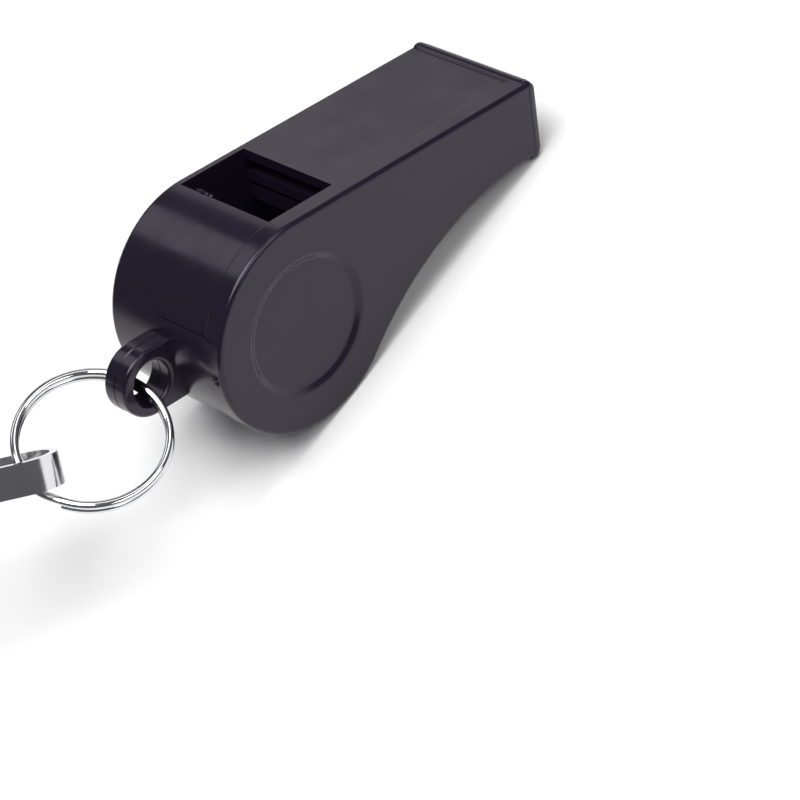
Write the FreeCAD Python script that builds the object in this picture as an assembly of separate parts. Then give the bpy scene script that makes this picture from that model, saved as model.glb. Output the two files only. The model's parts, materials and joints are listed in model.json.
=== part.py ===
import FreeCAD, Part
import math
import os

V = FreeCAD.Vector
os.makedirs("parts", exist_ok=True)

# Pea whistle for training, with its split ring and the J-shaped lanyard hook.
#
# Everything is drawn first in the whistle's own axes, in millimetres: the origin is on the barrel's
# axis halfway across the whistle, +X runs to the mouth along the top plate, +Z is square to the top
# plate and -Y is the side that the cover closes. At the end the assembly is tipped until the barrel's
# underside and the mouth's lower lip stand on one level plane, and raised so that the plane is z = 0.

# ---------------------------------------------------------------- driving dimensions
# whistle casing
barrel_r = 12.5            # rim of the round chamber end
mouth_x = 37.0             # barrel axis to the mouth end
casing_w = 18.0            # across both side plates
mouth_h = 9.0              # depth of the casing at the mouth
neck_r = 36.0              # hollow curve under the neck
rim_step = 0.3             # how far the near rim stands over the barrel and the top plate
barrel_wall = 1.7
far_wall = 1.1             # side wall that is one with the body
cover_t = 1.3              # separate side cover
rim_w = 1.3                # width of the body's rim beside the cover
edge_round = 0.55          # outer edges of the side plates
corner_round = 0.9         # mouth corners of the side plates
small_round = 0.2          # all lesser edges
disc_r = 8.1               # sunk round panel on each side
disc_deep = 0.5
disc_slope = 0.8           # width of the panel's sloping border
disc_round = 0.6           # both edges of that slope
spigot_h = 0.8             # step on the cover that centres it in the chamber
slip_gap = 0.12            # assembly gap all round the spigot and the tab

# windway, window and labium
window_back = -0.8         # rear edge of the window, from the barrel axis
window_front = 8.5
labium_slope = 45.0        # the sloping face that splits the air
roof_t = 1.2               # top plate over the windway
windway_exit_h = 1.5
mouth_open_top = 1.6       # rim top to the opening, at the mouth
mouth_lip_t = 0.8
ramp_run = 2.6             # steep first stretch of the windway floor
ramp_rise = 1.9
rib_t = 1.2                # windway floor
neck_wall = 1.3            # under the neck
neck_core_end = 4.0        # solid lip between the hollow neck and the mouth

# bead round the mouth
bead_r = 0.9
bead_proud = 0.05          # how far it stands out at the sides
bead_over = 0.12           # how far it stands over the rims at the top
bead_blend = 0.5           # hollow where the bead rises from the top plate
lobe_drop = 0.55           # how far the bead's ends reach under the mouth

# ring lug on the back of the barrel, moulded in two halves
lug_x = -15.23
lug_z = -2.32
lug_mid_y = 1.1            # plane where the two halves meet
lug_t = 3.5
lug_r = 3.95
lug_hole_r = 2.5
lug_round = 0.45
tab_rise = 1.9             # the cover's tab over and under the lug
tab_proud = 0.12

# cork pea
pea_r = 5.4
pea_gap = 0.25

# split ring, two turns of flat-sided wire
ring_r = 8.15              # middle of the wire
ring_wire_w = 0.95         # across the wire, from the ring's inside to its outside
ring_wire_h = 0.78         # along the ring's axis
ring_flat_share = 0.55     # part of the wire's width that is flat
ring_turn_gap = 0.03
ring_step_deg = 28.0       # stretch where the wire crosses from one turn to the next
ring_faces = V(-0.215, -0.392, 0.894)      # the flat side's direction, as the ring is pulled
ring_reach = V(-0.950, -0.1365, -0.287)    # from the lug's hole to the ring's middle
ring_pull = 1.05           # how far the wire sits off the hole's middle
ring_step_at = 193.0       # where the step lies, counted round the ring from the lug

# lanyard hook
strip_w = 3.5
strip_t = 0.9
strip_turn_r = 0.6         # inside of the turn from the long leg to the base plate
leg_end_round = 1.2
hook_gap = 6.0             # between the legs
hook_length = 24.0         # middle of the bend to the base plate
short_leg = 10.5
hook_at_deg = 154.0        # where it hangs on the ring, counted round the ring from the lug
hook_end_off = 4.1         # ring wire to the outside of the bend
hook_along = V(-0.782, 0.618, -0.078)
hook_across = V(0.198, 0.367, 0.908)
base_r = 3.0
ear_t = 0.55
ear_at = 17.5              # gate pivot along the hook, from the bend's middle
ear_r = 1.15
ear_h = 1.5                # pivot over the long leg's inner face
gate_pin_r = 0.45
pin_gap = 0.05             # running fit of the lever and the spring on the pin
pin_head_r = 0.8
pin_head_t = 0.3
pin_head_round = 0.18
gate_t = 0.55
gate_side_gap = 0.06
gate_cheek_t = 0.4         # each eye round the pin
gate_tip_in = 1.6          # gate's tip, back from the end of the short leg
gate_end_round = 0.7
gate_rest_gap = 0.04       # closed gate to the short leg
spring_wire_r = 0.16
spring_room = 0.16         # free space round the coil
spring_turns = 4
stud_r = 1.0
stud_head_r = 1.9
stud_head_t = 0.8
stud_tail_r = 1.6          # riveted over inside the loop
stud_tail_t = 0.55
stud_round = 0.4
stud_gap = 0.07            # running fit of the swivel
yoke_gap = 0.1             # end play of the swivel
yoke_open_w = 11.0         # clear width for the lanyard
yoke_open_l = 4.6
yoke_t = 1.1
yoke_w = 3.2
yoke_corner = 1.8

# ---------------------------------------------------------------- worked-out places
near_y = -casing_w / 2
far_y = casing_w / 2
seam_y = near_y + cover_t
rim_in_y = seam_y + rim_w
far_in_y = far_y - far_wall
skin_r = barrel_r - rim_step
chamber_r = skin_r - barrel_wall
plate_low_z = barrel_r - mouth_h
# middle of the neck's hollow curve: it touches the barrel and passes the mouth's lower corner
mouth_low = math.hypot(mouth_x, plate_low_z)
along = ((barrel_r + neck_r) ** 2 - neck_r ** 2 + mouth_low ** 2) / (2 * mouth_low)
aside = math.sqrt((barrel_r + neck_r) ** 2 - along ** 2)
neck_cx = (along * mouth_x + aside * plate_low_z) / mouth_low
neck_cz = (along * plate_low_z - aside * mouth_x) / mouth_low
lobe_x = mouth_x - bead_r
lobe_z = plate_low_z - lobe_drop + bead_r
# the tip that lays the barrel and the mouth's lobes on one level plane
lobe_far = math.hypot(lobe_x, lobe_z)
rest_tip = math.asin((barrel_r - bead_r) / lobe_far) + math.atan2(lobe_z, lobe_x)
bead_top_z = barrel_r + bead_over - bead_r
# windway heights
roof_z = skin_r - roof_t
floor_z = roof_z - windway_exit_h
lip_z = plate_low_z + mouth_lip_t


# ---------------------------------------------------------------- drawing helpers
def flat(x, z):
    return V(x, 0, z)


def prism(edges, y0, y1):
    """A closed outline in the XZ plane, given as curves in order, made solid from y0 to y1."""
    wire = Part.Wire(Part.__sortEdges__([e.toShape() for e in edges]))
    wire.translate(V(0, y0, 0))
    return Part.Face(wire).extrude(V(0, y1 - y0, 0))


def polygon(points, y0, y1):
    loop = [flat(*p) for p in points]
    return prism([Part.LineSegment(a, b) for a, b in zip(loop, loop[1:] + loop[:1])], y0, y1)


def across(x, z, r, y0, y1):
    """A round bar across the whistle."""
    return Part.makeCylinder(r, y1 - y0, V(x, y0, z), V(0, 1, 0))


def casing(inset, y0, y1, end=mouth_x):
    """The whistle's side outline, drawn in by inset everywhere but at the mouth."""
    r, hollow = barrel_r - inset, neck_r + inset
    share = r / math.hypot(neck_cx, neck_cz)
    touch = flat(neck_cx * share, neck_cz * share)
    low = flat(end, neck_cz + math.sqrt(hollow ** 2 - (end - neck_cx) ** 2))
    mid_x = (touch.x + end) / 2
    middle = flat(mid_x, neck_cz + math.sqrt(hollow ** 2 - (mid_x - neck_cx) ** 2))
    top, corner = flat(0, r), flat(end, r)
    return prism([Part.LineSegment(top, corner), Part.LineSegment(corner, low),
                  Part.Arc(low, middle, touch), Part.Arc(touch, flat(-r, 0), top)], y0, y1)


def fuse(first, *more):
    return first.fuse(list(more)).removeSplitter()


def edges_on(solid, test):
    """Edges whose every vertex and middle pass the test."""
    found = []
    for e in solid.Edges:
        spots = [v.Point for v in e.Vertexes] + [e.valueAt((e.FirstParameter + e.LastParameter) / 2)]
        if all(test(p) for p in spots):
            found.append(e)
    return found


def near(a, b, tolerance=1e-4):
    return abs(a - b) < tolerance


def mouth_corners(plate):
    """The two edges that run across a plate at its mouth end."""
    return [e for e in edges_on(plate, lambda p: near(p.x, mouth_x)) if near(e.BoundBox.ZLength, 0)
            and e.BoundBox.YLength > small_round]


def side_plate(y_outer, y_inner, inset):
    """A side plate with rounded mouth corners, a rounded outer edge and the sunk disc."""
    plate = casing(inset, min(y_outer, y_inner), max(y_outer, y_inner))
    plate = plate.makeFillet(corner_round, mouth_corners(plate))
    plate = plate.makeFillet(edge_round, edges_on(plate, lambda p: near(p.y, y_outer)))
    inward = 1 if y_inner > y_outer else -1
    bottom = y_outer + inward * disc_deep
    disc = Part.makeCone(disc_r, disc_r - disc_slope, disc_deep, V(0, y_outer, 0), V(0, inward, 0))
    disc = disc.makeFillet(disc_round, edges_on(disc, lambda p: near(p.y, bottom)))
    plate = plate.cut(disc)
    lip = edges_on(plate, lambda p: near(p.y, y_outer) and near(math.hypot(p.x, p.z), disc_r))
    return plate.makeFillet(disc_round, lip)


# ---------------------------------------------------------------- shared by body and cover
def windway():
    """The air space from the mouth to the window, open on the cover's side."""
    open_top = barrel_r - mouth_open_top
    past = mouth_x + 2 * bead_r
    points = [(window_front, roof_z), (mouth_x - ramp_run, roof_z), (mouth_x, open_top), (past, open_top),
              (past, lip_z), (mouth_x, lip_z), (mouth_x - ramp_run, lip_z + ramp_rise),
              (window_front, floor_z)]
    return polygon(points, seam_y, far_in_y)


def lug_half(y0, y1, y_outer, y_joint):
    """One half of the ring lug, from inside the barrel's wall to the round end, with its hole."""
    tongue = fuse(across(lug_x, lug_z, lug_r, y0, y1),
                  Part.makeBox(-lug_x, y1 - y0, 2 * lug_r, V(lug_x, y0, lug_z - lug_r)))
    tongue = tongue.cut(across(lug_x, lug_z, lug_hole_r, y0, y1))
    outer = edges_on(tongue, lambda p: near(p.y, y_outer) and not near(p.x, 0))
    tongue = tongue.makeFillet(lug_round, outer)
    joint = edges_on(tongue, lambda p: near(p.y, y_joint) and not near(p.x, 0))
    tongue = tongue.makeChamfer(tab_proud, joint)
    return tongue.cut(across(0, 0, (chamber_r + skin_r) / 2, y0, y1))


def tab_space(grow):
    """The stretch of barrel wall and rim that the cover carries to hold its half of the lug."""
    high = lug_z + lug_r + tab_rise + grow
    low = lug_z - lug_r - tab_rise - grow
    wall_part = across(0, 0, skin_r + tab_proud, seam_y, lug_mid_y + grow)
    rim_part = across(0, 0, barrel_r, seam_y, rim_in_y)
    ring = fuse(wall_part, rim_part).cut(across(0, 0, chamber_r, seam_y, lug_mid_y + grow))
    slab = Part.makeBox(2 * barrel_r, casing_w, high - low, V(-2 * barrel_r, seam_y, low))
    return ring.common(slab)


def bead_post(y, z0, z1):
    """Upright bead at a side of the mouth, with a round end under the mouth."""
    post = Part.makeCylinder(bead_r, z1 - z0, V(lobe_x, y, z0), V(0, 0, 1))
    return fuse(post, Part.makeSphere(bead_r, V(lobe_x, y, z0)))


# ---------------------------------------------------------------- whistle_body
def whistle_body():
    hoop = casing(rim_step, seam_y, far_in_y)
    near_rim = casing(0, seam_y, rim_in_y)
    near_rim = near_rim.makeFillet(corner_round, mouth_corners(near_rim))
    near_rim = near_rim.makeFillet(small_round, edges_on(near_rim, lambda p: near(p.y, rim_in_y)))
    far_side = side_plate(far_y, far_in_y, rim_step)
    far_post_y = far_y + bead_proud - bead_r
    top_bead = across(lobe_x, bead_top_z, bead_r, seam_y, far_post_y)
    far_corner = Part.makeSphere(bead_r, V(lobe_x, far_post_y, bead_top_z))
    hoop = fuse(hoop, top_bead)
    rise = edges_on(hoop, lambda p: near(p.z, skin_r) and lobe_x - bead_r < p.x < lobe_x)
    hoop = hoop.makeFillet(bead_blend, [e for e in rise if e.BoundBox.XLength < small_round])
    body = fuse(hoop, near_rim, far_side, far_corner, bead_post(far_post_y, lobe_z, bead_top_z))

    # round chamber, windway and the shaft under the window
    body = body.cut(across(0, 0, chamber_r, seam_y, far_in_y))
    body = body.cut(windway())
    slope = math.tan(math.radians(labium_slope))
    # where the sloping face runs out on the chamber's wall: a run**2 - 2 b run + c = 0
    a = 1 + slope ** 2
    b = skin_r * slope - window_back
    c = window_back ** 2 + skin_r ** 2 - chamber_r ** 2
    run = (b - math.sqrt(b * b - a * c)) / a
    tip_x, tip_z = window_back + run, skin_r - run * slope
    shaft_low = math.sqrt(chamber_r ** 2 - window_front ** 2)
    above = 2 * barrel_r
    body = body.cut(polygon([(window_back, above), (window_back, skin_r), (tip_x, tip_z), (tip_x, shaft_low),
                             (window_front, shaft_low), (window_front, above)], rim_in_y, far_in_y))
    body = body.cut(polygon([(tip_x, tip_z), (tip_x, shaft_low), (window_front, shaft_low),
                             (window_front, tip_z)], seam_y, rim_in_y))

    # hollow under the windway floor, closed by the cover
    floor_back = floor_z - rib_t
    core_end = mouth_x - neck_core_end
    floor_front = lip_z + ramp_rise - rib_t
    below = polygon([(0, floor_back), (window_front, floor_back), (core_end, floor_front),
                     (core_end, -barrel_r), (0, -barrel_r)], seam_y, far_in_y)
    core = casing(rim_step + neck_wall, seam_y, far_in_y, core_end).common(below)
    body = body.cut(core.cut(across(0, 0, chamber_r + rib_t, seam_y, far_in_y)))

    # room for the cover's tab, then the body's half of the lug
    body = body.cut(tab_space(slip_gap))
    lug_far_y = lug_mid_y + lug_t / 2
    return fuse(body, lug_half(lug_mid_y, lug_far_y, lug_far_y, lug_mid_y))


# ---------------------------------------------------------------- side_cover
def side_cover():
    plate = side_plate(near_y, seam_y, 0)
    spigot = across(0, 0, chamber_r - slip_gap, seam_y, seam_y + spigot_h)
    spigot = spigot.makeFillet(small_round, edges_on(spigot, lambda p: near(p.y, seam_y + spigot_h)))
    post_y = near_y - bead_proud + bead_r
    post = bead_post(post_y, lobe_z, bead_top_z)
    ball = Part.makeSphere(bead_r, V(lobe_x, post_y, bead_top_z))
    outside = Part.makeBox(4 * bead_r, 4 * bead_r, 2 * barrel_r,
                           V(lobe_x - 2 * bead_r, seam_y - 4 * bead_r, -barrel_r / 2))
    trim = fuse(post, ball).common(outside)
    lug_near_y = lug_mid_y - lug_t / 2
    lug = lug_half(lug_near_y, lug_mid_y, lug_near_y, lug_mid_y)
    return fuse(plate, spigot, trim, tab_space(0), lug)


# ---------------------------------------------------------------- cork_pea
def cork_pea():
    """The ball lies at the lowest place of the chamber, as the whistle stands."""
    orbit = chamber_r - pea_r - pea_gap
    middle_y = (seam_y + spigot_h + far_in_y) / 2
    return Part.makeSphere(pea_r, V(orbit * math.sin(rest_tip), middle_y, -orbit * math.cos(rest_tip)))


# ---------------------------------------------------------------- split_ring
ring_out = V(ring_reach).normalize()
ring_n = V(ring_faces)
ring_n = (ring_n - ring_out * ring_n.dot(ring_out)).normalize()
lug_hole = V(lug_x, lug_mid_y, lug_z)
ring_wire_at = lug_hole + ring_out * ring_pull
ring_mid = ring_wire_at + ring_out * ring_r
ring_side = ring_n.cross(ring_out)


def on_ring(degrees, lift=0.0):
    """A point on the ring's middle line, counted round from the lug, lifted along its axis."""
    a = math.radians(degrees)
    return ring_mid + (ring_out * -math.cos(a) + ring_side * -math.sin(a)) * ring_r + ring_n * lift


def split_ring():
    """Two flat turns joined by one short step, with the wire's ends on either side of the step."""
    pitch = ring_wire_h + ring_turn_gap
    turns = 720.0 - ring_step_deg
    spine = []
    steps = 96
    for i in range(steps + 1):
        turned = turns * i / steps
        climbed = min(max((turned - (360.0 - ring_step_deg)) / ring_step_deg, 0.0), 1.0)
        lift = pitch * (climbed * climbed * (3 - 2 * climbed) - 0.5)
        spine.append(on_ring(ring_step_at + turned, lift))
    curve = Part.BSplineCurve()
    curve.interpolate(spine)
    start = spine[0]
    ahead = (spine[1] - spine[0]).normalize()
    outward = ahead.cross(ring_n).normalize()
    upward = outward.cross(ahead).normalize()
    wide = outward * (ring_wire_w / 2)
    flat_half = wide * ring_flat_share
    tall = upward * (ring_wire_h / 2)
    # flat sides towards the other turn, round edges inside and outside
    section = Part.Wire([
        Part.Arc(start + tall - flat_half, start - wide, start - tall - flat_half).toShape(),
        Part.LineSegment(start - tall - flat_half, start - tall + flat_half).toShape(),
        Part.Arc(start - tall + flat_half, start + wide, start + tall + flat_half).toShape(),
        Part.LineSegment(start + tall + flat_half, start + tall - flat_half).toShape()])
    pipe = Part.BRepOffsetAPI.MakePipeShell(Part.Wire(curve.toShape()))
    pipe.setBiNormalMode(ring_n)
    pipe.add(section)
    pipe.build()
    pipe.makeSolid()
    return pipe.shape()


# ---------------------------------------------------------------- lanyard hook, drawn in its own axes
# X runs along the hook from the middle of its bend, Y across the strip, Z from the long leg to the
# short one. The long leg lies at -Z.
hook_x = V(hook_along).normalize()
hook_y = (V(hook_across) - hook_x * V(hook_across).dot(hook_x)).normalize()
hook_z = hook_x.cross(hook_y)
leg_in = hook_gap / 2
bend_out = leg_in + strip_t
hook_origin = on_ring(hook_at_deg) + hook_x * (bend_out - hook_end_off)
half_w = strip_w / 2
pin_z = ear_h - leg_in
coil_r = gate_pin_r + pin_gap + spring_wire_r


def placed(shape, placement):
    moved = shape.copy()
    moved.Placement = placement.multiply(moved.Placement)
    return moved


def bar(a, b, r):
    return Part.makeCylinder(r, (b - a).Length, a, b - a)


def hook_strip():
    # side view of the strip: short leg, bend, long leg and the turn up to the base plate
    turn_r = strip_t + strip_turn_r
    turn_x = hook_length - turn_r
    turn_z = turn_r - bend_out
    base_in = hook_length - strip_t
    diagonal = math.sqrt(0.5)
    outer_turn = flat(turn_x + turn_r * diagonal, turn_z - turn_r * diagonal)
    inner_turn = flat(turn_x + strip_turn_r * diagonal, turn_z - strip_turn_r * diagonal)
    body = prism([
        Part.LineSegment(flat(short_leg, bend_out), flat(0, bend_out)),
        Part.Arc(flat(0, bend_out), flat(-bend_out, 0), flat(0, -bend_out)),
        Part.LineSegment(flat(0, -bend_out), flat(turn_x, -bend_out)),
        Part.Arc(flat(turn_x, -bend_out), outer_turn, flat(hook_length, turn_z)),
        Part.LineSegment(flat(hook_length, turn_z), flat(hook_length, 0)),
        Part.LineSegment(flat(hook_length, 0), flat(base_in, 0)),
        Part.LineSegment(flat(base_in, 0), flat(base_in, turn_z)),
        Part.Arc(flat(base_in, turn_z), inner_turn, flat(turn_x, -leg_in)),
        Part.LineSegment(flat(turn_x, -leg_in), flat(0, -leg_in)),
        Part.Arc(flat(0, -leg_in), flat(-leg_in, 0), flat(0, leg_in)),
        Part.LineSegment(flat(0, leg_in), flat(short_leg, leg_in)),
        Part.LineSegment(flat(short_leg, leg_in), flat(short_leg, bend_out))], -half_w, half_w)
    # rounded end of the short leg
    tip = edges_on(body, lambda p: near(p.x, short_leg) and near(abs(p.y), half_w))
    body = body.makeFillet(leg_end_round, tip)
    # round plate that the swivel's stud turns in
    body = fuse(body, bar(V(base_in, 0, 0), V(hook_length, 0, 0), base_r))
    body = body.cut(bar(V(base_in, 0, 0), V(hook_length, 0, 0), stud_r + stud_gap))
    # two ears for the gate's pin, folded up from the long leg
    for y0 in (-half_w, half_w - ear_t):
        body = fuse(body, across(ear_at, pin_z, ear_r, y0, y0 + ear_t),
                    Part.makeBox(2 * ear_r, ear_t, ear_h, V(ear_at - ear_r, y0, -leg_in)))
    return body.cut(across(ear_at, pin_z, gate_pin_r, -strip_w, strip_w))


def gate_pin():
    end_y = half_w + pin_head_t
    pin = across(ear_at, pin_z, gate_pin_r, -half_w, half_w)
    for y0 in (-end_y, half_w):
        head = across(ear_at, pin_z, pin_head_r, y0, y0 + pin_head_t)
        pin = fuse(pin, head.makeFillet(pin_head_round, edges_on(head, lambda p: near(abs(p.y), end_y))))
    return pin


def gate_lever():
    """Pressed lever from the pin to the inside of the short leg's tip."""
    y1 = half_w - ear_t - gate_side_gap
    eye_r = gate_pin_r + gate_t
    # the lever's outer face leaves the eye on its upper side and just meets the short leg
    back = ear_at - short_leg + gate_tip_in
    rise = leg_in - gate_rest_gap - pin_z
    reach = math.sqrt(back ** 2 + rise ** 2 - eye_r ** 2)
    lean = math.atan2(rise, back) - math.asin(eye_r / math.hypot(back, rise))
    blade = polygon([(-reach, eye_r), (0, eye_r), (0, eye_r - gate_t), (-reach, eye_r - gate_t)], -y1, y1)
    tip = edges_on(blade, lambda p: near(p.x, -reach) and near(abs(p.y), y1))
    blade = blade.makeFillet(gate_end_round, tip)
    # room for the spring between the two eyes
    eye_in = y1 - gate_cheek_t
    blade = blade.cut(across(0, 0, coil_r + spring_wire_r + spring_room, -eye_in, eye_in))
    lever = fuse(blade, across(0, 0, eye_r, -y1, -eye_in), across(0, 0, eye_r, eye_in, y1))
    lever = lever.cut(across(0, 0, gate_pin_r + pin_gap, -y1, y1))
    lever.rotate(V(0, 0, 0), V(0, 1, 0), math.degrees(lean))
    lever.translate(flat(ear_at, pin_z))
    return lever


def gate_spring():
    """Small torsion spring round the pin, between the lever's eyes."""
    room = half_w - ear_t - 2 * gate_side_gap - gate_cheek_t
    height = 2 * (room - spring_wire_r)
    helix = Part.makeHelix(height / spring_turns, height, coil_r)
    section = Part.Wire(Part.makeCircle(spring_wire_r, V(coil_r, 0, 0), V(0, 1, 0)))
    coil = Part.Wire(helix).makePipeShell([section], True, True)
    coil.rotate(V(0, 0, 0), V(1, 0, 0), -90)
    coil.translate(V(ear_at, -height / 2, pin_z))
    return coil


def swivel_stud():
    """Stud that turns in the hook's base plate, headed inside and riveted to the yoke."""
    inside = hook_length - strip_t - yoke_gap
    outside = hook_length + yoke_gap + yoke_t
    shaft = bar(V(inside, 0, 0), V(outside, 0, 0), stud_r)
    head = bar(V(inside - stud_head_t, 0, 0), V(inside, 0, 0), stud_head_r)
    head = head.makeFillet(stud_round, edges_on(head, lambda p: near(p.x, inside - stud_head_t)))
    tail = bar(V(outside, 0, 0), V(outside + stud_tail_t, 0, 0), stud_tail_r)
    tail = tail.makeFillet(stud_round, edges_on(tail, lambda p: near(p.x, outside + stud_tail_t)))
    return fuse(shaft, head, tail)


def yoke_loop(x0, x1, half, corner):
    box = Part.makeBox(x1 - x0, yoke_w, 2 * half, V(x0, -yoke_w / 2, -half))
    return box.makeFillet(corner, edges_on(box, lambda p: near(p.x, x0) and near(abs(p.z), half))
                          + edges_on(box, lambda p: near(p.x, x1) and near(abs(p.z), half)))


def swivel_yoke():
    x0 = hook_length + yoke_gap
    x1 = x0 + 2 * yoke_t + yoke_open_l
    half = yoke_open_w / 2
    loop = yoke_loop(x0, x1, half + yoke_t, yoke_corner + yoke_t)
    loop = loop.cut(yoke_loop(x0 + yoke_t, x1 - yoke_t, half, yoke_corner))
    return loop.cut(bar(V(x0, 0, 0), V(x0 + yoke_t, 0, 0), stud_r))


# ---------------------------------------------------------------- tip the assembly to its rest and write it
stand = FreeCAD.Placement(V(0, 0, barrel_r), FreeCAD.Rotation(V(0, 1, 0), math.degrees(rest_tip)))
hook_placement = FreeCAD.Placement(FreeCAD.Matrix(
    hook_x.x, hook_y.x, hook_z.x, hook_origin.x,
    hook_x.y, hook_y.y, hook_z.y, hook_origin.y,
    hook_x.z, hook_y.z, hook_z.z, hook_origin.z,
    0, 0, 0, 1))

for node, make in {"whistle_body": whistle_body, "side_cover": side_cover, "cork_pea": cork_pea,
                   "split_ring": split_ring}.items():
    placed(make(), stand).exportStep("parts/" + node + ".step")
for node, make in {"hook_strip": hook_strip, "gate_lever": gate_lever, "gate_pin": gate_pin,
                   "gate_spring": gate_spring, "swivel_stud": swivel_stud, "swivel_yoke": swivel_yoke}.items():
    placed(placed(make(), hook_placement), stand).exportStep("parts/" + node + ".step")
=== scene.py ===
import json
import math

import bmesh
import bpy
from mathutils import Matrix, Vector, noise


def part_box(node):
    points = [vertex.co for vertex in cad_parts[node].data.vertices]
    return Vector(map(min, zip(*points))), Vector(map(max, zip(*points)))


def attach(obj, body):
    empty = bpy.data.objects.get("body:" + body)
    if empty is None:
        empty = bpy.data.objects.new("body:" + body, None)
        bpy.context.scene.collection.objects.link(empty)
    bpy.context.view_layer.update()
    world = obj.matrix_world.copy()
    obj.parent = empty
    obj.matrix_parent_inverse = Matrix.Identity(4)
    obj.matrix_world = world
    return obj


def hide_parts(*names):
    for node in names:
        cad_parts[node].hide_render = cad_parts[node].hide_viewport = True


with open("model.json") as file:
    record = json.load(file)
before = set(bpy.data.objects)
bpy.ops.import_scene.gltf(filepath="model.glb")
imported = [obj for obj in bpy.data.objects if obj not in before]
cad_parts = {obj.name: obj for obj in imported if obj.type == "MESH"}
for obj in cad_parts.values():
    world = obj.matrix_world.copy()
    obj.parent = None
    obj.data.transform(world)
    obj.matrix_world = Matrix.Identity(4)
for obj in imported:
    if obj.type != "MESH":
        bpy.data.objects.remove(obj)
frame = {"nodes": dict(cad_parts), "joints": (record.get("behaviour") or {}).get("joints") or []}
nodes = frame["nodes"]
joints = {joint["name"]: joint for joint in frame["joints"]}
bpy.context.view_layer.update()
scene = bpy.context.scene

# ------------------------------------------------------------------ camera
# A long lens from the cover's side, above and behind the ring, tilted so that the mouth points up to
# the right.
camera = bpy.data.objects.new("camera", bpy.data.cameras.new("camera"))
camera.data.lens = 163.7
camera.data.clip_start = 0.01
camera.location = (-0.10395, -0.26566, 0.28236)
camera.rotation_euler = [math.radians(angle) for angle in (38.202, 23.603, -49.719)]
scene.collection.objects.link(camera)
scene.camera = camera

# ------------------------------------------------------------------ floor
# One wide sheet of matt white paper. It lights the side cover and the underside of the barrel.
sheet = bmesh.new()
bmesh.ops.create_grid(sheet, x_segments=1, y_segments=1, size=3.0)
floor = bpy.data.objects.new("floor", bpy.data.meshes.new("floor"))
sheet.to_mesh(floor.data)
sheet.free()
scene.collection.objects.link(floor)
paper = bpy.data.materials.new("studio_paper")
paper.use_nodes = True
paper.node_tree.nodes["Principled BSDF"].inputs["Base Color"].default_value = (0.88, 0.88, 0.88, 1)
paper.node_tree.nodes["Principled BSDF"].inputs["Roughness"].default_value = 0.9
floor.data.materials.append(paper)

# ------------------------------------------------------------------ studio light
# A dim room with soft boxes: a big one overhead for the floor and the edges, a weak one over the back that
# shows in the barrel, a weak one beyond the mouth that shows in the top plate, a slim one in front for the
# cover's rounded edge, and one high beyond the barrel that the ring mirrors.
scene.view_settings.view_transform = "Standard"
scene.world = bpy.data.worlds.new("studio")
scene.world.use_nodes = True
room = scene.world.node_tree.nodes["Background"]
room.inputs["Color"].default_value = (0.93, 0.93, 1.0, 1)
room.inputs["Strength"].default_value = 0.14


def soft_box(name, place, width, height, radiance):
    lamp = bpy.data.lights.new(name, "AREA")
    lamp.shape = "RECTANGLE"
    lamp.size = width
    lamp.size_y = height
    lamp.energy = radiance * math.pi * width * height
    box = bpy.data.objects.new(name, lamp)
    box.location = place
    box.rotation_euler = (-Vector(place)).to_track_quat("-Z", "Y").to_euler()
    scene.collection.objects.link(box)


soft_box("overhead_box", (-0.05, -0.05, 0.80), 0.60, 0.60, 6.4)
soft_box("back_box", (0.10, 0.52, 0.58), 0.34, 0.22, 1.5)
soft_box("mouth_box", (0.62, 0.62, 0.27), 0.40, 0.26, 0.9)
soft_box("front_box", (0.22, -0.56, 0.50), 0.60, 0.16, 6.0)
soft_box("ring_box", (0.52, -0.03, 0.72), 0.26, 0.26, 2.6)


# ------------------------------------------------------------------ whistle body and side cover
# Two injection mouldings in black ABS from a polished mould, glued together at the near rim. The plastic is
# glossy, a little uneven where it shrank, and dulled by fine handling marks.
def new_group(name, inputs, outputs):
    group = bpy.data.node_groups.new(name, "ShaderNodeTree")
    for socket, kind, value in inputs:
        made = group.interface.new_socket(name=socket, in_out="INPUT", socket_type=kind)
        made.default_value = value
    for socket, kind in outputs:
        group.interface.new_socket(name=socket, in_out="OUTPUT", socket_type=kind)
    return group, group.nodes.new("NodeGroupInput"), group.nodes.new("NodeGroupOutput")


# handling marks: smudges that dull the gloss in patches, and hair scratches that run two ways
marks, given, result = new_group(
    "handling_marks",
    [("Smudge size", "NodeSocketFloat", 180.0), ("Scratch density", "NodeSocketFloat", 900.0)],
    [("Smudge", "NodeSocketFloat"), ("Scratch", "NodeSocketFloat")])
place = marks.nodes.new("ShaderNodeTexCoord")
smudge = marks.nodes.new("ShaderNodeTexNoise")
smudge.inputs["Detail"].default_value = 5.0
smudge.inputs["Roughness"].default_value = 0.6
marks.links.new(place.outputs["Object"], smudge.inputs["Vector"])
marks.links.new(given.outputs["Smudge size"], smudge.inputs["Scale"])
marks.links.new(smudge.outputs["Fac"], result.inputs["Smudge"])
hairs = marks.nodes.new("ShaderNodeMath")
hairs.operation = "MAXIMUM"
for slot_number, turn in enumerate(((0.3, 0.5, 0.9), (1.1, 0.2, 2.2))):
    grain = marks.nodes.new("ShaderNodeMapping")
    grain.inputs["Rotation"].default_value = turn
    grain.inputs["Scale"].default_value = (0.03, 1.0, 1.0)
    hair = marks.nodes.new("ShaderNodeTexNoise")
    hair.inputs["Detail"].default_value = 1.0
    thin = marks.nodes.new("ShaderNodeMapRange")
    thin.inputs["From Min"].default_value = 0.66
    thin.inputs["From Max"].default_value = 0.74
    marks.links.new(place.outputs["Object"], grain.inputs["Vector"])
    marks.links.new(grain.outputs["Vector"], hair.inputs["Vector"])
    marks.links.new(given.outputs["Scratch density"], hair.inputs["Scale"])
    marks.links.new(hair.outputs["Fac"], thin.inputs["Value"])
    marks.links.new(thin.outputs["Result"], hairs.inputs[slot_number])
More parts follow.
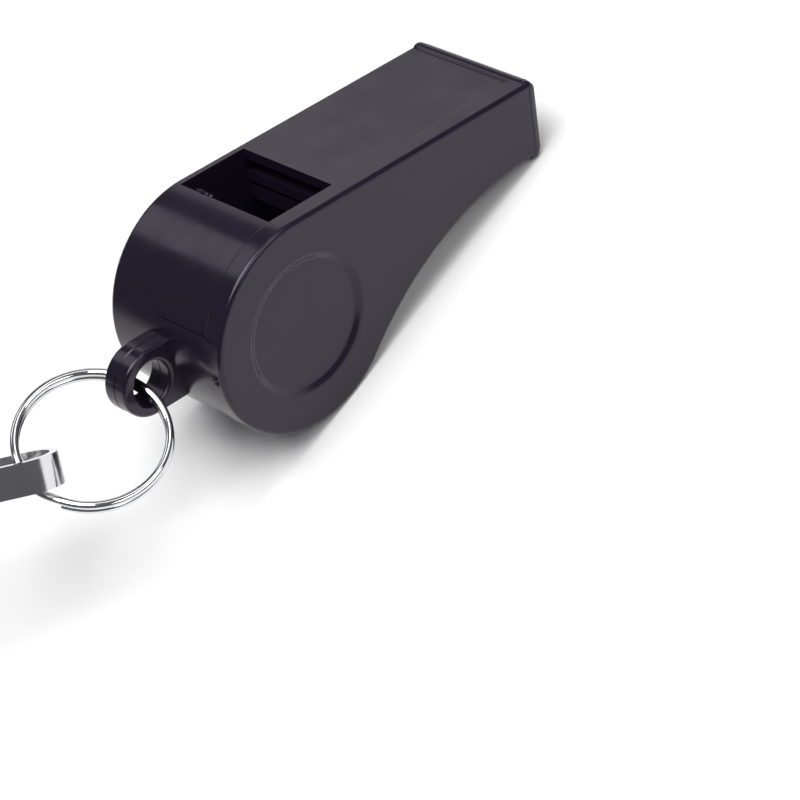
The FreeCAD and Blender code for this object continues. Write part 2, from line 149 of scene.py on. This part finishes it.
marks.links.new(hairs.outputs["Value"], result.inputs["Scratch"])


def marked_material(name, color, metallic, gloss, smudge_size, scratch_density, scratch_depth):
    """A hard material whose gloss runs between two roughness values, with hair scratches in it."""
    material = bpy.data.materials.new(name)
    material.use_nodes = True
    tree = material.node_tree
    shader = tree.nodes["Principled BSDF"]
    shader.inputs["Base Color"].default_value = (*color, 1)
    shader.inputs["Metallic"].default_value = metallic
    wear = tree.nodes.new("ShaderNodeGroup")
    wear.node_tree = marks
    wear.inputs["Smudge size"].default_value = smudge_size
    wear.inputs["Scratch density"].default_value = scratch_density
    dull = tree.nodes.new("ShaderNodeMapRange")
    dull.inputs["From Min"].default_value = 0.35
    dull.inputs["From Max"].default_value = 0.70
    dull.inputs["To Min"].default_value = gloss[0]
    dull.inputs["To Max"].default_value = gloss[1]
    bump = tree.nodes.new("ShaderNodeBump")
    bump.invert = True
    bump.inputs["Distance"].default_value = scratch_depth
    tree.links.new(wear.outputs["Smudge"], dull.inputs["Value"])
    tree.links.new(dull.outputs["Result"], shader.inputs["Roughness"])
    tree.links.new(wear.outputs["Scratch"], bump.inputs["Height"])
    tree.links.new(bump.outputs["Normal"], shader.inputs["Normal"])
    return material, tree, shader, bump


casing_plastic, tree, shader, scratches = marked_material(
    "black_casing", (0.0090, 0.0066, 0.0150), 0.0, (0.16, 0.27), 160.0, 700.0, 0.0000015)
shader.inputs["IOR"].default_value = 1.44
shader.inputs["Specular Tint"].default_value = (0.94, 0.86, 1.0, 1)
# sink marks: broad shallow waves left as the moulding cooled
waves = tree.nodes.new("ShaderNodeTexNoise")
waves.inputs["Scale"].default_value = 95.0
waves.inputs["Detail"].default_value = 1.5
object_place = tree.nodes.new("ShaderNodeTexCoord")
sink = tree.nodes.new("ShaderNodeBump")
sink.inputs["Distance"].default_value = 0.00011
tree.links.new(object_place.outputs["Object"], waves.inputs["Vector"])
tree.links.new(waves.outputs["Fac"], sink.inputs["Height"])
tree.links.new(sink.outputs["Normal"], scratches.inputs["Normal"])
for name in ("whistle_body", "side_cover"):
    nodes[name].data.materials.clear()
    nodes[name].data.materials.append(casing_plastic)


# ------------------------------------------------------------------ flash
# Crumbs of plastic that the mould left: a torn fringe on the far end of the sloping lip in the window,
# and a small knot on the glued seam beside the ring lug.
def crumb(bm, middle, size, seed):
    made = bmesh.ops.create_icosphere(bm, subdivisions=3, radius=1.0)["verts"]
    for v in made:
        v.co *= 1.0 + 0.35 * noise.noise(v.co * 1.7 + Vector((seed, 0, 0)))
        v.co = Vector((v.co.x * size[0], v.co.y * size[1], v.co.z * size[2])) + Vector(middle)


def finish_piece(name, bm, body, material):
    bmesh.ops.recalc_face_normals(bm, faces=bm.faces)
    piece = bpy.data.objects.new(name, bpy.data.meshes.new(name))
    bm.to_mesh(piece.data)
    bm.free()
    piece.data.materials.append(material)
    for face in piece.data.polygons:
        face.use_smooth = True
    scene.collection.objects.link(piece)
    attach(piece, body)
    return piece


fringe = bmesh.new()
fringe_crumbs = (
    (0.0052, 0.02372, 0.00034),
    (0.0046, 0.02384, 0.00042),
    (0.0040, 0.02376, 0.00036),
    (0.0033, 0.02370, 0.00030))
for number, (along, up, long) in enumerate(fringe_crumbs):
    crumb(fringe, (0.0046, along, up), (0.00022, long, 0.00020), 3.0 * number)
finish_piece("window_flash", fringe, "whistle", casing_plastic)
knot = bmesh.new()
knot_crumbs = (
    (-0.01165, -0.0077, 0.01700, 0.00030),
    (-0.01172, -0.0079, 0.01652, 0.00036),
    (-0.01160, -0.0075, 0.01614, 0.00026))
for number, (x, y, z, r) in enumerate(knot_crumbs):
    crumb(knot, (x, y, z), (r, r, 1.3 * r), 5.0 * number + 1.0)
finish_piece("seam_flash", knot, "whistle", casing_plastic)


# ------------------------------------------------------------------ pea
# A ball turned from natural cork, pitted and crumbled where grains broke out of its skin.
low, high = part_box("cork_pea")
ball_middle = (low + high) / 2
ball_r = (high.x - low.x) / 2
ball = bmesh.new()
bmesh.ops.create_icosphere(ball, subdivisions=6, radius=ball_r)
for v in ball.verts:
    pore = noise.noise(v.co * 900.0) + 0.6 * noise.noise(v.co * 2100.0)
    dent = max(0.0, pore - 0.28) * 0.0006
    v.co *= 1.0 - (dent + 0.00002 * (1.0 + noise.noise(v.co * 3200.0))) / ball_r
bmesh.ops.translate(ball, verts=ball.verts, vec=ball_middle)
cork = bpy.data.materials.new("cork")
cork.use_nodes = True
tree = cork.node_tree
shader = tree.nodes["Principled BSDF"]
shader.inputs["Roughness"].default_value = 0.85
object_place = tree.nodes.new("ShaderNodeTexCoord")
grains = tree.nodes.new("ShaderNodeTexVoronoi")
grains.inputs["Scale"].default_value = 1500.0
bark = tree.nodes.new("ShaderNodeTexNoise")
bark.inputs["Scale"].default_value = 700.0
bark.inputs["Detail"].default_value = 6.0
tint = tree.nodes.new("ShaderNodeValToRGB")
tint.color_ramp.elements[0].position = 0.34
tint.color_ramp.elements[0].color = (0.07, 0.028, 0.012, 1)
tint.color_ramp.elements[1].position = 0.62
tint.color_ramp.elements[1].color = (0.50, 0.30, 0.15, 1)
rough_skin = tree.nodes.new("ShaderNodeBump")
rough_skin.inputs["Distance"].default_value = 0.0001
for pattern in (grains, bark):
    tree.links.new(object_place.outputs["Object"], pattern.inputs["Vector"])
tree.links.new(bark.outputs["Fac"], tint.inputs["Fac"])
tree.links.new(tint.outputs["Color"], shader.inputs["Base Color"])
tree.links.new(grains.outputs["Distance"], rough_skin.inputs["Height"])
tree.links.new(rough_skin.outputs["Normal"], shader.inputs["Normal"])
pea = finish_piece("cork_ball", ball, "pea", cork)
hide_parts("cork_pea")


# ------------------------------------------------------------------ split ring
# Bright plated steel wire, wound twice round and pressed flat, so that the two turns lie on each other and
# the wire steps from one to the other over a short stretch.
ring_r = 0.00815
wire_w = 0.00095
wire_h = 0.00078
turn_pitch = 0.00081
step_angle = math.radians(28.0)
flat_angle = 2 * math.pi - step_angle
chrome, *_ = marked_material("chrome_wire", (0.70, 0.70, 0.71), 1.0, (0.05, 0.13), 350.0, 1600.0, 0.000001)
ring = bmesh.new()
section = bmesh.ops.create_circle(ring, segments=24, radius=0.5)["verts"]
bmesh.ops.rotate(ring, verts=section, cent=(0, 0, 0), matrix=Matrix.Rotation(math.pi / 2, 3, "X"))
bmesh.ops.scale(ring, verts=section, vec=(wire_w, 1, wire_h))
bmesh.ops.translate(ring, verts=section, vec=(ring_r, 0, -turn_pitch / 2))
tip = ring.verts[:] + ring.edges[:]


def wind(tip, angle, steps, rise):
    """The wire's end is carried round the ring's axis, rising evenly, and gives the new end."""
    return bmesh.ops.spin(ring, geom=tip, cent=(0, 0, 0), axis=(0, 0, 1), dvec=(0, 0, rise / steps),
                          angle=angle, steps=steps, use_duplicate=False)["geom_last"]


tip = wind(tip, flat_angle, 120, 0.0)
step_count = 14
for number in range(step_count):
    shares = [share * share * (3 - 2 * share) for share in (number / step_count, (number + 1) / step_count)]
    tip = wind(tip, step_angle / step_count, 1, turn_pitch * (shares[1] - shares[0]))
wind(tip, flat_angle, 120, 0.0)
bmesh.ops.holes_fill(ring, edges=[e for e in ring.edges if e.is_boundary], sides=0)
wire_in_lug = Vector(joints["ring_swing"]["pos_m"])
sideways = Vector(joints["ring_swing"]["axis"]).normalized()
ring_axis = Vector(joints["hook_swing"]["axis"]).cross(sideways).normalized()
outward = sideways.cross(ring_axis)
ring_place = Matrix((-outward, -sideways, ring_axis)).transposed().to_4x4()
ring_place.translation = wire_in_lug + outward * ring_r
first_turn_start = math.radians(193.0)
bmesh.ops.transform(ring, matrix=ring_place @ Matrix.Rotation(first_turn_start, 4, "Z"), verts=ring.verts)
wire_ring = finish_piece("wire_ring", ring, "ring", chrome)
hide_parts("split_ring")


# ------------------------------------------------------------------ hook, gate lever and swivel loop
# Pressed from 0.9 mm steel strip and plated: the edges are tumbled round before plating, so each sharp edge
# of the cut strip becomes a narrow bright line.
chrome_strip, *_ = marked_material(
    "chrome_strip", (0.66, 0.66, 0.67), 1.0, (0.07, 0.17), 300.0, 1300.0, 0.0000015)


def tumbled(name, node, body, round_r, material):
    """The CAD node's own shape with its sharp edges rounded."""
    bm = bmesh.new()
    bm.from_mesh(nodes[node].data)
    bmesh.ops.remove_doubles(bm, verts=bm.verts, dist=0.000002)
    bmesh.ops.dissolve_limit(bm, angle_limit=math.radians(0.5), verts=bm.verts, edges=bm.edges)
    sharp = [e for e in bm.edges if e.is_manifold and e.calc_face_angle() > math.radians(35)]
    bmesh.ops.bevel(bm, geom=sharp, offset=round_r, segments=3, profile=0.5, affect="EDGES",
                    material=-1, clamp_overlap=True)
    piece = finish_piece(name, bm, body, material)
    piece.data.set_sharp_from_angle(angle=math.radians(50))
    even = piece.modifiers.new("even_shading", "WEIGHTED_NORMAL")
    even.keep_sharp = True
    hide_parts(node)
    return piece


tumbled("strip_hook", "hook_strip", "hook", 0.00016, chrome_strip)
tumbled("gate", "gate_lever", "gate", 0.00007, chrome_strip)
tumbled("lanyard_loop", "swivel_yoke", "swivel", 0.00022, chrome_strip)

# ------------------------------------------------------------------ pin, stud and spring
# Small turned and coiled steel parts, left bright.
steel, *_ = marked_material("steel_pin", (0.50, 0.50, 0.51), 1.0, (0.18, 0.32), 500.0, 2200.0, 0.000001)
spring_steel, *_ = marked_material(
    "spring_steel", (0.36, 0.36, 0.38), 1.0, (0.22, 0.36), 700.0, 2600.0, 0.000001)
for name, metal in (("gate_pin", steel), ("swivel_stud", steel), ("gate_spring", spring_steel)):
    nodes[name].data.materials.clear()
    nodes[name].data.materials.append(metal)
